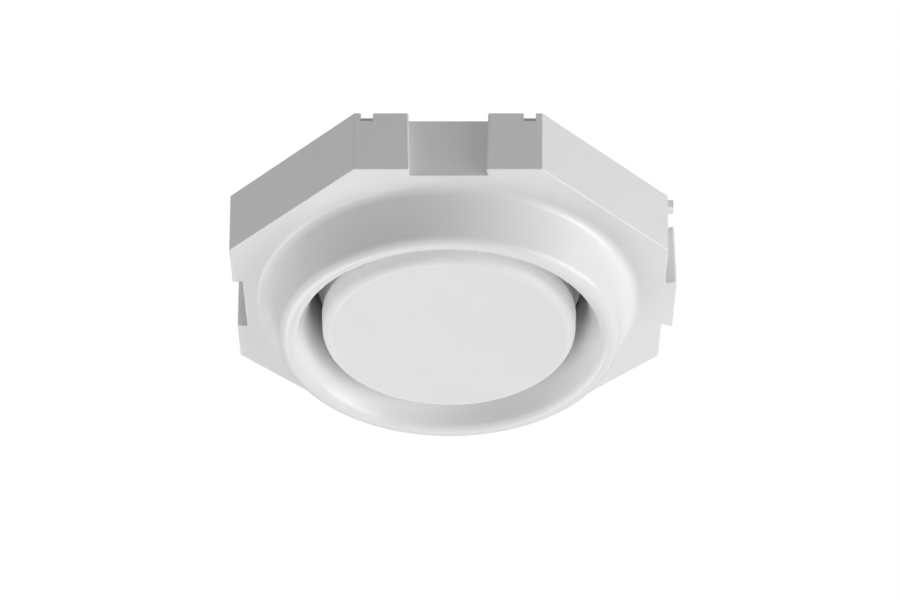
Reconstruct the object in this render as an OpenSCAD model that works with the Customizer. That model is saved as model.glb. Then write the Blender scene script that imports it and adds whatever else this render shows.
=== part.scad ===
// Soffit downlight: an octagonal moulded housing with a drooping ring, a disc lamp that
// twists into its lampholder, and a steel back plate that the soffit holds. The origin is
// midway between the two soffit screws, on the face of the soffit. +Z points up into the
// soffit, and the lamp looks down along -Z. Sides of the body join to those of its neighbours:
// a recess at -X and -Y, a tongue at +X and +Y. Lengths are in millimetres.

/* [Housing] */
// Width of the flat face between the ring's foot and the middle of each side
face_margin = 6.6; // [6.2:0.1:9]
// Depth of the body, from the soffit to its face
body_h = 20.2; // [19.4:0.2:24]
// Wall thickness of the moulding
wall = 2.1; // [1.8:0.1:2.6]
// Thickness of the face around the ring
face_t = 2.8; // [2:0.1:3.4]
// Draft of the outside walls, which are wider at the soffit
draft_angle = 1.75; // [0:0.25:2.5]
// Thickness of the floor behind the lampholder
floor_t = 2.3; // [1.8:0.1:2.6]
// Thickness of the stiffening ribs
rib_t = 1.8; // [1.2:0.1:2.4]

/* [Ring] */
// How far the ring stands down from the face
ring_drop = 15; // [12:0.5:18]
// Radius of the rounded rim
rim_round = 3.2; // [2.6:0.1:3.6]
// Slope of the ring's outside, from the vertical
ring_slope = 20; // [14:1:22]
// Radius of the fillet at the foot of the ring
root_fillet = 3; // [1.5:0.25:3.5]
// Slope of the bowl's inside at the rim, from the vertical
bowl_slope = 28; // [24:1:34]
// How much wider the bowl is at its rim than at the lampholder, on each side
bowl_flare = 3.6; // [2.8:0.1:4.2]

/* [Interlock with the next module] */
// Width of a recess's mouth, at the face
recess_w = 21.2; // [18:0.2:23]
// Depth of a recess into the wall
recess_depth = 2.9; // [2.4:0.1:3.2]
// Width of a tongue's root, at the face
tongue_w = 20.4; // [17:0.2:20.6]
// How far a tongue stands out of the wall, at the face
tongue_out = 3.4; // [2.4:0.1:3.6]
// Distance of the small notches and lugs from the middle of their side
notch_place = 23.2; // [20:0.2:24]
// Width of a small notch
notch_w = 3.5; // [3:0.1:4]
// Height of a small notch
notch_h = 3; // [2:0.1:4]

/* [Back plate] */
// Thickness of the steel
plate_t = 1.2; // [0.8:0.1:1.6]
// Height of the turned-down rim
plate_rim_h = 5; // [3:0.5:7]
// Width of a soffit screw's slot
slot_w = 4.8; // [4:0.1:5.4]
// Length of a soffit screw's slot
slot_len = 9; // [7:0.5:10]

/* [Cable inlet] */
// Radius of the grommet's bore
inlet_r = 4; // [3:0.1:4.4]
// Radius of the supply cable that the clamp is made for
cable_r = 3.3; // [2.6:0.1:3.4]

/* [Lampholder] */
// How far the lampholder's edge lies outside the lamp's side
holder_margin = 1.9; // [1.4:0.1:2.4]
// Thickness of the lampholder with its cover
holder_h = 10.2; // [9.8:0.1:11]
// Thickness of the lip that holds the lamp's pins
lip_t = 2; // [1.6:0.1:2.2]
// Angle that the lamp turns through between going in and locking
twist_angle = 15; // [14:1:18]

/* [Lamp] */
// Distance between the two contact pins, which the kind of lamp sets
pin_spacing = 53; // [52.5:0.1:53.5]
// How far the lamp's side lies outside its pins
lamp_margin = 11.1; // [10.5:0.1:11.5]
// Height of the lamp from its seat to the front of its rim
lamp_h = 18.4; // [17:0.2:20]
// Radius of the rounding round the lamp's front
lamp_round = 2.8; // [2:0.1:3.2]
// How far the round hub's side lies inside the pins
hub_inset = 5.8; // [5.6:0.1:6.5]
// Height of the hub
hub_h = 9.4; // [8.6:0.1:9.6]
// Number of grip ribs round the lamp
rib_count = 112; // [80:1:120]

/* [Hidden] */
$fn = 96;

// How far a cut runs past the surface that it opens
over = 0.5;
// Gap between pieces that are put together by hand
fit_gap = 0.2;
// Gap between a screw or wire and the hole that it fills
screw_gap = 0.05;

// Body
sides = 8;
side_turn = 360 / sides;
face_z = -body_h;
draft = tan(draft_angle);

// Interlock: a joint is wider at the soffit, and a recess or tongue is wider away from its mouth
joint_taper = 0.75;
recess_flare = 0.65;
tongue_flare = 1.3;
recess_turns = [0, -90];
tongue_turns = [90, 180];
lug_gap = 0.1;
lug_out = 1.8;
boss_half = recess_w / 2 + joint_taper + recess_flare + wall;

// Lamp's hub and side, and the lampholder's edge, from the pins
pin_circle = pin_spacing / 2;
hub_r = pin_circle - hub_inset;
lamp_r = pin_circle + lamp_margin;
holder_r = lamp_r + holder_margin;

// Back plate, floor and lampholder, from the soffit down
plate_z = -plate_t;
floor_z = plate_z - floor_t;
holder_z = floor_z - holder_h;

// Ring and bowl, with heights taken from the face
holder_gap = 1.7;
pocket_r = holder_r + holder_gap;
tube_r = pocket_r + wall;
rim_r = pocket_r + bowl_flare + rim_round * cos(bowl_slope);
rim_z = rim_round - ring_drop;
root_r = rim_r + rim_round / cos(ring_slope) - rim_z * tan(ring_slope);
fillet_r = root_r + root_fillet * (1 / cos(ring_slope) - tan(ring_slope));
bowl_r = bowl_flare / (1 - cos(bowl_slope));
throat_z = rim_z + (bowl_r - rim_round) * sin(bowl_slope);
groove_share = 0.7;
groove_z = -ring_drop * groove_share;
floor_hole_gap = 3.2;
floor_hole_r = hub_r + floor_hole_gap;
arc_steps = 10;
bowl_steps = 8;

// Walls of the body outside the ring, and the back plate inside them
body_half = fillet_r + face_margin;
inner_half = body_half - wall;
boss_face = body_half - recess_depth - wall;
reach = 4 * body_half;
plate_half = inner_half + draft * (body_h - plate_rim_h) - fit_gap;

// Ribs in the corners that hold no wiring
rib_drop = 9.5;
rib_angles = [-22.5, 112.5, 157.5, 202.5, 247.5, 292.5];

// Hollow between the tube round the lampholder and the back plate's rim, with the soffit screws
// as near its middle as a whole millimetre allows
hollow_w = plate_half - plate_t - tube_r;
hollow_mid = tube_r + hollow_w / 2;
screw_circle = round(hollow_mid);

// Fixing screws that clamp lampholder and housing to the back plate
fixing_inset = 8.5;
fixing_place = holder_r - fixing_inset;
standoff_r = 3;
standoff_collar = 1.2;
fixing_r = 1.95;
fixing_bore_r = fixing_r + screw_gap;
fixing_head_r = 3.5;
fixing_head_h = 2.2;
fixing_head_sink = 0.4;
fixing_web = 1.4;
fixing_seat_z = holder_z + fixing_head_sink + fixing_head_h;
standoff_z = fixing_seat_z + fixing_web + fit_gap;
fixing_tip_z = plate_z - plate_t;
driver_slot_w = 0.9;
driver_slot_depth = 1;

// Soffit cable: the grommet in its dish, and the clamp beside it
inlet_angle = 115;
dish_depth = 1.8;
dish_r = 8.1;
grommet_neck_r = 5.3;
grommet_flange_r = 6.8;
grommet_flange_t = 1.3;
grommet_nose = 4;
clamp_w = 7;
clamp_side_gap = 0.74;
clamp_len = hollow_w - 2 * clamp_side_gap;
clamp_roof = 2;
clamp_screw_share = 0.35;
clamp_screw_r = 1.3;
clamp_head_r = 2.4;
clamp_head_h = 1.6;
clamp_h = 2 * cable_r + clamp_roof;

// Terminal block: two poles side by side, wires run along the wall
block_angle = 52;
block_w = 15.2;
block_len = 15;
block_h = 11;
pole_offset = 4.5;
pole_r = 2.4;
pole_bore_r = 1.3;
pole_len = 13;
pole_gap = 0.1;
pole_drop = 6.5;
pole_screw_place = 4;
pole_screw_r = 1.2;
pole_head_r = 1.8;
pole_well_r = 2;
pole_head_h = 1.4;
pole_head_drop = 0.6;
block_screw_r = 1.1;
block_head_r = 1.5;
block_head_h = 1.4;
block_head_drop = 2.2;

// Leads from the terminal block to the lampholder: each leaves the block along its wires' way,
// then turns inwards at its own distance from the block's middle
lead_r = 1.1;
lead_z = plate_z - pole_drop;
lead_start = 2;
lead_bend = 4;
live_lead_angle = 15;
neutral_lead_angle = 32;
window_gap = 0.8;
window_h = 7.6;

// Lampholder
cover_t = 1.8;
cover_z = floor_z - cover_t;
cover_r = holder_r - fit_gap;
hub_gap = 0.7;
holder_bore_r = hub_r + hub_gap;
neck_r = 1.7;
head_r = 2.5;
head_t = 1.6;
neck_gap = 0.4;
neck_end_gap = 0.35;
head_gap = 0.5;
chamber_half = 3.6;
chamber_in = pin_circle - chamber_half;
chamber_out = pin_circle + chamber_half;
chamber_past_angle = 8;
chamber_start_angle = -twist_angle - chamber_past_angle;
chamber_end_angle = 13;
channel_wall = 2;
channel_w = 2.6;
channel_out = holder_r - channel_wall;
channel_in = channel_out - channel_w;
live_channel_angles = [4, 20.5];
neutral_channel_angles = [27, 195];
link_start_angle = 6;
link_end_angle = 12;
entry_w = 3;
cover_screw_angles = [135, -45];
cover_screw_inset = 8;
cover_screw_place = holder_r - cover_screw_inset;
cover_screw_r = 1.2;
cover_screw_len = 6;
cover_head_r = 2.2;
cover_head_h = 1.2;

// Lamp, from its seat down
seat_gap = 0.3;
seat_z = holder_z - seat_gap;
lamp_front_z = seat_z - lamp_h;
lamp_wall = 1.7;
lamp_inner_r = lamp_r - lamp_wall;
front_lip_t = 1.4;
front_lip_r = lamp_r - lamp_round;
lamp_shoulder_h = 4.6;
lamp_taper = 1.2;
lamp_back_t = 2;
cap_margin = 4.3;
cap_r = pin_circle + cap_margin;
cap_gap = 0.2;
cap_flange_t = 1.1;
grip_depth = 0.35;
grip_front = 0.4;
// One grip rib's outline: share of the pitch, and share of the depth
grip_shares = [[-0.3, 1], [0.3, 1], [0.4, 0], [0.6, 0]];

// Contacts: a leaf over the pin's head, a tail out to the channel and a tab along it
neck_len = lip_t + 2 * seat_gap;
leaf_z = seat_z + neck_len + head_t + seat_gap;
strip_t = 0.4;
leaf_half = 2.4;
leaf_in = pin_circle - leaf_half;
leaf_out = pin_circle + leaf_half;
leaf_start_angle = -8;
leaf_end_angle = 11;
tail_start_angle = 7.5;
tail_end_angle = 10.5;
tab_r = (channel_in + channel_out) / 2;
live_aside = tab_r * sin(block_angle - live_lead_angle);
neutral_aside = tab_r * sin(block_angle - neutral_lead_angle);
tab_gap = 0.8;
tab_h = cover_z - leaf_z - tab_gap;
live_tab_start_angle = 8.5;
live_tab_end_angle = 19;
neutral_tab_start_angle = 28.5;
neutral_tab_end_angle = 189.5;

// Diffuser
dome_h = 0.6;
diffuser_t = 1.5;
diffuser_gap = 0.15;
diffuser_round = 0.35;
diffuser_flange_t = 1;
dome_steps = 8;

// Pins
pin_tail_r = 2.6;
pin_fit = 0.05;

// Hub and boards
hub_wall = 1.6;
hub_end_t = 1.4;
inside_z = seat_z - lamp_back_t - cap_flange_t;
sink_t = 1.2;
sink_depth = 6.6;
sink_z = lamp_front_z + sink_depth;
board_t = 1.2;
led_board_gap = 2.5;
led_board_r = lamp_inner_r - led_board_gap;
led_len = 3.5;
led_w = 2.8;
led_h = 0.8;
// Rings of light sources: how many, and the ring's share of the board's radius
led_ring_shares = [[12, 0.72], [6, 0.36]];
board_hole_r = 3;
board_screw_inset = 4.4;
board_screw_circle = led_board_r - board_screw_inset;
board_screw_count = 3;
board_screw_angle = 30;
board_screw_r = 1.2;
board_head_r = 2.1;
board_head_h = 1.3;
driver_gap = 3.5;
driver_r = pin_circle - driver_gap;
driver_t = 1.6;
driver_z = inside_z - driver_t;

// Driver parts, with their places as shares of the hub's radius
capacitor_r = 4;
capacitor_h = 8.4;
capacitor_at_share = [-0.34, 0.29];
capacitor_groove = 0.3;
capacitor_groove_place = 1.8;
inductor_r = 3.6;
inductor_flange_t = 0.9;
inductor_wind_r = 3;
inductor_h = 6.4;
inductor_at_share = [0.34, -0.29];
rectifier_len = 4.8;
rectifier_w = 3.9;
rectifier_at_share = [-0.58, -0.44];
chip_len = 6;
chip_w = 4.9;
chip_at_share = [0.48, 0.48];
package_h = 1.6;
package_foot = 1.1;
package_foot_t = 0.3;
package_leg_w = 0.6;
package_leg_place = 1.3;
resistor_r = 1.3;
resistor_len = 7;
resistor_at_share = [-0.63, 0.39];
resistor_wire_r = 0.35;
resistor_wire_out = 1.6;
wire_r = 0.6;
wire_gap = 0.02;
wire_in = 2.4;
link_wire_r = 0.5;
link_wire_place = 1.4;
link_wire_foot = 4;
link_wire_bend = 1.2;

// Points of an arc about a centre
function arc(centre, r, from, to, steps) =
    [for (i = [0:steps]) let (a = from + (to - from) * i / steps) centre + r * [cos(a), sin(a)]];
function unit(v) = v / norm(v);
function polar(r, a) = r * [cos(a), sin(a)];

// Prism on the body's octagon, whose flats lie half from the middle at the face and follow the draft
module drafted_octagon(half, low, high) {
    intersection() {
        translate([-reach / 2, -reach / 2, low])
            cube([reach, reach, high - low]);
        intersection_for (k = [0:sides - 1])
            rotate([0, 0, k * side_turn])
                translate([half, 0, face_z])
                    rotate([0, draft_angle, 0])
                        translate([-reach, -reach / 2, -reach / 2])
                            cube([reach, reach, reach]);
    }
}

// Upright octagonal prism
module octagon(half, low, high) {
    rotate([0, 0, side_turn / 2])
        translate([0, 0, low])
            cylinder(r = half / cos(side_turn / 2), h = high - low, $fn = sides);
}

// Solid between two outlines of four points, the low one and the high one
module drafted_bar(low_points, high_points, low, high) {
    n = len(low_points);
    polyhedron(
        points = concat([for (p = low_points) [p.x, p.y, low]], [for (p = high_points) [p.x, p.y, high]]),
        faces = concat([[for (i = [0:n - 1]) i]], [[for (i = [n - 1:-1:0]) n + i]],
            [for (i = [0:n - 1]) let (j = (i + 1) % n) [i, n + i, n + j, j]]));
}

// Part of a ring between two angles
module sector(r_in, r_out, low, high, from, to) {
    rotate([0, 0, from])
        rotate_extrude(angle = to - from)
            translate([r_in, low])
                square([r_out - r_in, high - low]);
}

module disc(r, low, high) {
    translate([0, 0, low])
        cylinder(r = r, h = high - low);
}

// Round wire in the XY plane that runs from a towards corner b, bends, and goes on to c
module bent_wire(a, b, c, bend, r) {
    u = unit(b - a);
    v = unit(c - b);
    turn = acos(u * v);
    hand = sign(u.x * v.y - u.y * v.x);
    cut = bend * tan(turn / 2);
    start = b - u * cut;
    centre = start + hand * bend * [-u.y, u.x];
    from = atan2(start.y - centre.y, start.x - centre.x);
    straight_wire(a, start, r);
    straight_wire(b + v * cut, c, r);
    translate(centre)
        rotate([0, 0, hand > 0 ? from : from - turn])
            rotate_extrude(angle = turn)
                translate([bend, 0])
                    circle(r = r);
}

module straight_wire(a, b, r) {
    translate(a)
        rotate([0, 0, atan2(b.y - a.y, b.x - a.x)])
            rotate([0, 90, 0])
                cylinder(r = r, h = norm(b - a));
}

// Outline of a recess on the -Y side, mouth half being its half width in the wall's face
function recess_outline(mouth_half) =
    let (shrink = recess_flare * wall / recess_depth)
    [[shrink - mouth_half, -body_half - wall], [mouth_half - shrink, -body_half - wall],
     [mouth_half + recess_flare, recess_depth - body_half],
     [-mouth_half - recess_flare, recess_depth - body_half]];

// Outline of a tongue on the -Y side, root half being its half width at the wall's face
function tongue_outline(root_half) =
    let (shrink = tongue_flare * wall / tongue_out / 2)
    [[-root_half - tongue_flare, -body_half - tongue_out],
     [root_half + tongue_flare, -body_half - tongue_out],
     [root_half - shrink, wall / 2 - body_half], [shrink - root_half, wall / 2 - body_half]];

module recess_cut() {
    drafted_bar(recess_outline(recess_w / 2 - joint_taper * over / body_h),
        recess_outline(recess_w / 2 + joint_taper * (1 + over / body_h)), face_z - over, over);
}

module tongue() {
    drafted_bar(tongue_outline(tongue_w / 2), tongue_outline(tongue_w / 2 + joint_taper), face_z, 0);
}

module small_notches() {
    for (x = [-notch_place, notch_place])
        translate([x - notch_w / 2, -body_half - wall, -notch_h])
            cube([notch_w, 2 * wall + over, notch_h + over]);
}

module small_lugs() {
    lug_w = notch_w - 2 * lug_gap;
    lug_h = notch_h - lug_gap;
    lug_face = body_half + draft * body_h + lug_out;
    for (x = [-notch_place, notch_place])
        translate([x - lug_w / 2, -lug_face, -lug_h])
            cube([lug_w, lug_face - inner_half - wall / 2, lug_h]);
}

// Line of the ring's outside and of the bowl's inside, from the foot to the throat
function ring_line() = concat(
    arc([fillet_r, -root_fillet], root_fillet, 90, 180 - ring_slope, arc_steps),
    arc([rim_r, rim_z], rim_round, -ring_slope, bowl_slope - 180, 2 * arc_steps),
    arc([pocket_r + bowl_r, throat_z], bowl_r, 180 + bowl_slope, 180, bowl_steps));

// Line of the hollow behind it, from the tube to the back of the face
function hollow_line() =
    let (hollow_r = bowl_r - wall,
        deepest = asin((throat_z - groove_z) / hollow_r),
        cone_r = root_r - wall / cos(ring_slope))
    concat(arc([pocket_r + bowl_r, throat_z], hollow_r, 180, 180 + deepest, bowl_steps),
        [[cone_r + groove_z * tan(ring_slope), groove_z], [cone_r + face_t * tan(ring_slope), face_t]]);

module ring_and_tube() {
    top = body_h + plate_z;
    translate([0, 0, face_z])
        rotate_extrude()
            polygon(concat(ring_line(),
                [[pocket_r, top - floor_t], [floor_hole_r, top - floor_t],
                 [floor_hole_r, top], [tube_r, top]],
                hollow_line(), [[fillet_r, face_t]]));
}

module housing() {
    rib_in = tube_r - wall / 2;
    rib_out = inner_half / cos(side_turn / 2) + wall / 2;
    color("whitesmoke")
        difference() {
            union() {
                difference() {
                    drafted_octagon(body_half, face_z, 0);
                    difference() {
                        drafted_octagon(inner_half, face_z + face_t, over);
                        for (turn = recess_turns)
                            rotate([0, 0, turn])
                                translate([-boss_half, -reach / 2, -reach / 2])
                                    cube([2 * boss_half, reach / 2 - boss_face, reach]);
                        for (a = rib_angles)
                            rotate([0, 0, a])
                                translate([rib_in, -rib_t / 2, face_z])
                                    cube([rib_out - rib_in, rib_t, body_h - rib_drop]);
                    }
                    disc(root_r, face_z - over, face_z + face_t + over);
                    disc(tube_r - wall / 2, face_z, over);
                }
                ring_and_tube();
                for (turn = tongue_turns)
                    rotate([0, 0, turn]) {
                        tongue();
                        small_lugs();
                    }
            }
            for (turn = recess_turns)
                rotate([0, 0, turn]) {
                    recess_cut();
                    small_notches();
                }
            for (y = [-fixing_place, fixing_place])
                translate([0, y, 0])
                    disc(standoff_r + fit_gap, floor_z - over, 0);
            rotate([0, 0, block_angle])
                translate([0, -live_aside - lead_r - window_gap, floor_z - window_h])
                    cube([tube_r + over, live_aside - neutral_aside + 2 * (lead_r + window_gap), window_h]);
        }
}

module slot(centre_x) {
    run = slot_len / 2 - slot_w / 2;
    for (x = [-run, run])
        translate([centre_x + x, 0, 0])
            disc(slot_w / 2, plate_z - over, over);
    translate([centre_x - run, -slot_w / 2, plate_z - over])
        cube([2 * run, slot_w, plate_t + 2 * over]);
}

module at_inlet() {
    rotate([0, 0, inlet_angle])
        translate([hollow_mid, 0, 0])
            children();
}

module at_block() {
    rotate([0, 0, block_angle])
        translate([hollow_mid, 0, 0])
            children();
}

module back_plate() {
    color("silver")
        difference() {
            union() {
                difference() {
                    octagon(plate_half, -plate_rim_h, 0);
                    octagon(plate_half - plate_t, -plate_rim_h - over, plate_z);
                    for (turn = recess_turns)
                        rotate([0, 0, turn])
                            translate([-boss_half - fit_gap, -reach / 2, -reach / 2])
                                cube([2 * (boss_half + fit_gap), reach / 2 - boss_face + fit_gap, reach]);
                }
                at_inlet()
                    disc(dish_r, plate_z - dish_depth, 0);
            }
            at_inlet() {
                disc(dish_r - plate_t, -dish_depth, over);
                disc(grommet_neck_r + screw_gap, plate_z - dish_depth - over, over);
            }
            for (x = [-screw_circle, screw_circle])
                slot(x);
            for (y = [-fixing_place, fixing_place])
                translate([0, y, 0])
                    disc(standoff_r - standoff_collar + screw_gap, plate_z - over, over);
            at_block()
                disc(block_screw_r + screw_gap, plate_z - over, over);
            for (y = clamp_screws())
                translate([0, y, 0])
                    disc(clamp_screw_r + screw_gap, plate_z - over, over);
        }
}

// Two threaded pillars, riveted into the back plate
module threaded_standoffs() {
    color("lightgray")
        for (y = [-fixing_place, fixing_place])
            translate([0, y, 0])
                difference() {
                    union() {
                        disc(standoff_r, standoff_z, plate_z);
                        disc(standoff_r - standoff_collar, plate_z, 0);
                    }
                    disc(fixing_bore_r, standoff_z - over, fixing_tip_z + fit_gap);
                }
}

module fixing_screws() {
    color("lightgray")
        for (y = [-fixing_place, fixing_place])
            translate([0, y, 0])
                difference() {
                    union() {
                        disc(fixing_r, fixing_seat_z, fixing_tip_z);
                        disc(fixing_head_r, fixing_seat_z - fixing_head_h, fixing_seat_z);
                    }
                    for (turn = [0, 90])
                        rotate([0, 0, turn])
                            translate([-fixing_head_r + driver_slot_w, -driver_slot_w / 2,
                                    fixing_seat_z - fixing_head_h - over])
                                cube([2 * (fixing_head_r - driver_slot_w), driver_slot_w,
                                    driver_slot_depth + over]);
                }
}

// Rubber grommet: a flange on each side of the dish, and a nose that the cable leaves through
module cable_grommet() {
    dish_z = plate_z - dish_depth;
    color("dimgray")
        at_inlet()
            difference() {
                union() {
                    disc(grommet_flange_r, -dish_depth, -dish_depth + grommet_flange_t);
                    disc(grommet_neck_r, dish_z, -dish_depth);
                    disc(grommet_flange_r, dish_z - grommet_flange_t, dish_z);
                    translate([0, 0, dish_z - grommet_flange_t - grommet_nose])
                        cylinder(r1 = inlet_r + grommet_flange_t, r2 = grommet_neck_r, h = grommet_nose);
                }
                disc(inlet_r, dish_z - grommet_flange_t - grommet_nose - over, over);
            }
}

function clamp_screws() =
    [hollow_mid - clamp_len * clamp_screw_share, hollow_mid + clamp_len * clamp_screw_share];

// Saddle that grips the supply cable against the back plate
module cable_clamp() {
    color("white")
        difference() {
            translate([-clamp_w / 2, hollow_mid - clamp_len / 2, plate_z - clamp_h])
                cube([clamp_w, clamp_len, clamp_h]);
            translate([-clamp_w / 2 - over, hollow_mid, plate_z - cable_r])
                rotate([0, 90, 0])
                    cylinder(r = cable_r, h = clamp_w + 2 * over);
            translate([-clamp_w / 2 - over, hollow_mid - cable_r, plate_z - cable_r])
                cube([clamp_w + 2 * over, 2 * cable_r, cable_r + over]);
            for (y = clamp_screws())
                translate([0, y, 0])
                    disc(clamp_screw_r + screw_gap, plate_z - clamp_h - over, over);
        }
}

module cable_clamp_screws() {
    color("lightgray")
        for (y = clamp_screws())
            translate([0, y, 0]) {
                disc(clamp_screw_r, plate_z - clamp_h, 0);
                disc(clamp_head_r, plate_z - clamp_h - clamp_head_h, plate_z - clamp_h);
            }
}

// Block of two poles: along its own y run the wires, from below go the screws
module terminal_block() {
    bottom = plate_z - block_h;
    color("white")
        at_block()
            difference() {
                translate([-block_w / 2, -block_len / 2, bottom])
                    cube([block_w, block_len, block_h]);
                for (x = [-pole_offset, pole_offset]) {
                    translate([x, block_len / 2 + over, lead_z])
                        rotate([90, 0, 0])
                            cylinder(r = pole_r + pole_gap, h = block_len + 2 * over);
                    for (y = [-pole_screw_place, pole_screw_place])
                        translate([x, y, 0])
                            disc(pole_well_r, bottom - over, lead_z);
                }
                disc(block_screw_r + screw_gap, bottom - over, 0);
                disc(block_head_r + pole_gap, bottom - over, bottom + block_head_drop + block_head_h);
            }
}

module terminal_clamps() {
    color("goldenrod")
        at_block()
            for (x = [-pole_offset, pole_offset])
                difference() {
                    translate([x, pole_len / 2, lead_z])
                        rotate([90, 0, 0])
                            cylinder(r = pole_r, h = pole_len);
                    translate([x, pole_len / 2 + over, lead_z])
                        rotate([90, 0, 0])
                            cylinder(r = pole_bore_r, h = pole_len + 2 * over);
                    for (y = [-pole_screw_place, pole_screw_place])
                        translate([x, y, 0])
                            disc(pole_screw_r + screw_gap, lead_z - pole_r - over, lead_z);
                }
}

module terminal_screws() {
    head_low = plate_z - block_h + pole_head_drop;
    color("lightgray")
        at_block()
            for (x = [-pole_offset, pole_offset], y = [-pole_screw_place, pole_screw_place])
                translate([x, y, 0])
                    difference() {
                        union() {
                            disc(pole_screw_r, head_low, lead_z - lead_r - wire_gap);
                            disc(pole_head_r, head_low, head_low + pole_head_h);
                        }
                        translate([-pole_head_r - over, -driver_slot_w / 2, head_low - over])
                            cube([2 * (pole_head_r + over), driver_slot_w, driver_slot_depth / 2 + over]);
                    }
}

module terminal_block_screw() {
    head_low = plate_z - block_h + block_head_drop;
    color("lightgray")
        at_block() {
            disc(block_screw_r, head_low, 0);
            disc(block_head_r, head_low, head_low + block_head_h);
        }
}

// How far out a circle lies from the block's own cross line, at a distance aside of the block
function out_at(r, aside) = sqrt(r * r - aside * aside);

module lead(offset, aside) {
    out = hollow_mid + offset;
    rotate([0, 0, block_angle])
        translate([0, 0, lead_z])
            bent_wire([out, -lead_start], [out, -aside],
                [out_at(tab_r + strip_t + wire_gap, aside - lead_r), -aside], lead_bend, lead_r);
}

module live_lead() {
    color("saddlebrown")
        lead(pole_offset, live_aside);
}

module neutral_lead() {
    color("steelblue")
        lead(-pole_offset, neutral_aside);
}

// Room for one pin: the keyhole in the lip, and the chamber behind it
module pin_room() {
    translate(concat(polar(pin_circle, -twist_angle), [0]))
        disc(head_r + head_gap, holder_z - over, holder_z + lip_t + over);
    sector(pin_circle - neck_r - neck_gap, pin_circle + neck_r + neck_gap, holder_z - over,
        holder_z + lip_t + over, -twist_angle, 0);
    translate([pin_circle, 0, 0])
        disc(neck_r + neck_end_gap, holder_z - over, holder_z + lip_t + over);
    sector(chamber_in, chamber_out, holder_z + lip_t, cover_z + over, chamber_start_angle, chamber_end_angle);
    sector(chamber_out - over, channel_in + over, leaf_z, cover_z + over, link_start_angle, link_end_angle);
}

module holder_body() {
    color("ivory")
        difference() {
            disc(holder_r, holder_z, cover_z);
            disc(holder_bore_r, holder_z - over, cover_z + over);
            for (turn = [0, 180])
                rotate([0, 0, turn])
                    pin_room();
            for (span = [live_channel_angles, neutral_channel_angles])
                sector(channel_in, channel_out, leaf_z, cover_z + over, span[0], span[1]);
            for (aside = [live_aside, neutral_aside])
                rotate([0, 0, block_angle])
                    translate([out_at(channel_in, aside - entry_w / 2), -aside - entry_w / 2,
                            lead_z - entry_w / 2])
                        cube([holder_r - channel_in + entry_w, entry_w, cover_z - lead_z + entry_w]);
            for (y = [-fixing_place, fixing_place])
                translate([0, y, 0]) {
                    disc(fixing_head_r + fit_gap, holder_z - over, fixing_seat_z);
                    disc(fixing_r + fit_gap, holder_z, cover_z + over);
                    disc(standoff_r + fit_gap, standoff_z - fit_gap, cover_z + over);
                }
            for (a = cover_screw_angles)
                translate(polar(cover_screw_place, a))
                    disc(cover_screw_r + screw_gap, cover_z - cover_screw_len, cover_z + over);
        }
}

module holder_cover() {
    color("ivory")
        difference() {
            disc(cover_r, cover_z, floor_z);
            disc(holder_bore_r, cover_z - over, floor_z + over);
            for (y = [-fixing_place, fixing_place])
                translate([0, y, 0])
                    disc(standoff_r + fit_gap, cover_z - over, floor_z + over);
            for (a = cover_screw_angles)
                translate(polar(cover_screw_place, a)) {
                    disc(cover_screw_r + screw_gap, cover_z - over, floor_z + over);
                    disc(cover_head_r + screw_gap, floor_z - cover_head_h, floor_z + over);
                }
        }
}

module holder_cover_screws() {
    color("lightgray")
        for (a = cover_screw_angles)
            translate(polar(cover_screw_place, a)) {
                disc(cover_screw_r, cover_z - cover_screw_len + screw_gap, floor_z);
                disc(cover_head_r, floor_z - cover_head_h, floor_z);
            }
}

module contact(tab_from, tab_to) {
    sector(leaf_in, leaf_out, leaf_z, leaf_z + strip_t, leaf_start_angle, leaf_end_angle);
    sector(leaf_out - strip_t, tab_r + strip_t / 2, leaf_z, leaf_z + strip_t,
        tail_start_angle, tail_end_angle);
    sector(tab_r, tab_r + strip_t, leaf_z + strip_t / 2, leaf_z + tab_h, tab_from, tab_to);
}

module live_contact() {
    color("peru")
        contact(live_tab_start_angle, live_tab_end_angle);
}

module neutral_contact() {
    color("peru")
        rotate([0, 0, 180])
            contact(neutral_tab_start_angle - 180, neutral_tab_end_angle - 180);
}

// Ribbed shell of the lamp, with the rounded rim that its cover shows through
module lamp_body() {
    straight_z = lamp_front_z + lamp_round;
    back_z = seat_z - lamp_back_t;
    grip_from = straight_z + grip_front;
    grip_to = seat_z - lamp_shoulder_h;
    color("white")
        difference() {
            rotate_extrude()
                polygon(concat(
                    arc([front_lip_r, straight_z], lamp_round, -90, 0, arc_steps),
                    [[lamp_r, grip_to], [lamp_r - lamp_taper, seat_z], [cap_r + cap_gap, seat_z],
                     [cap_r + cap_gap, back_z], [lamp_inner_r, back_z],
                     [lamp_inner_r, lamp_front_z + front_lip_t], [front_lip_r, lamp_front_z + front_lip_t]]));
            grips(grip_from, grip_to);
        }
}

// Grooves between the grip ribs
module grips(low, high) {
    pitch = 360 / rib_count;
    translate([0, 0, low])
        linear_extrude(height = high - low)
            difference() {
                circle(r = lamp_r + over);
                polygon([for (i = [0:rib_count - 1], edge = grip_shares)
                    polar(lamp_r - grip_depth + edge[1] * (grip_depth + over / 2), (i + edge[0]) * pitch)]);
            }
}

// Line of the slightly domed face, out to a radius and raised by a height
function dome_line(out_r, edge_r, edge_z) =
    [for (i = [0:dome_steps]) let (r = out_r * i / dome_steps, share = r / edge_r)
        [r, edge_z - dome_h * (1 - share * share)]];

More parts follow.
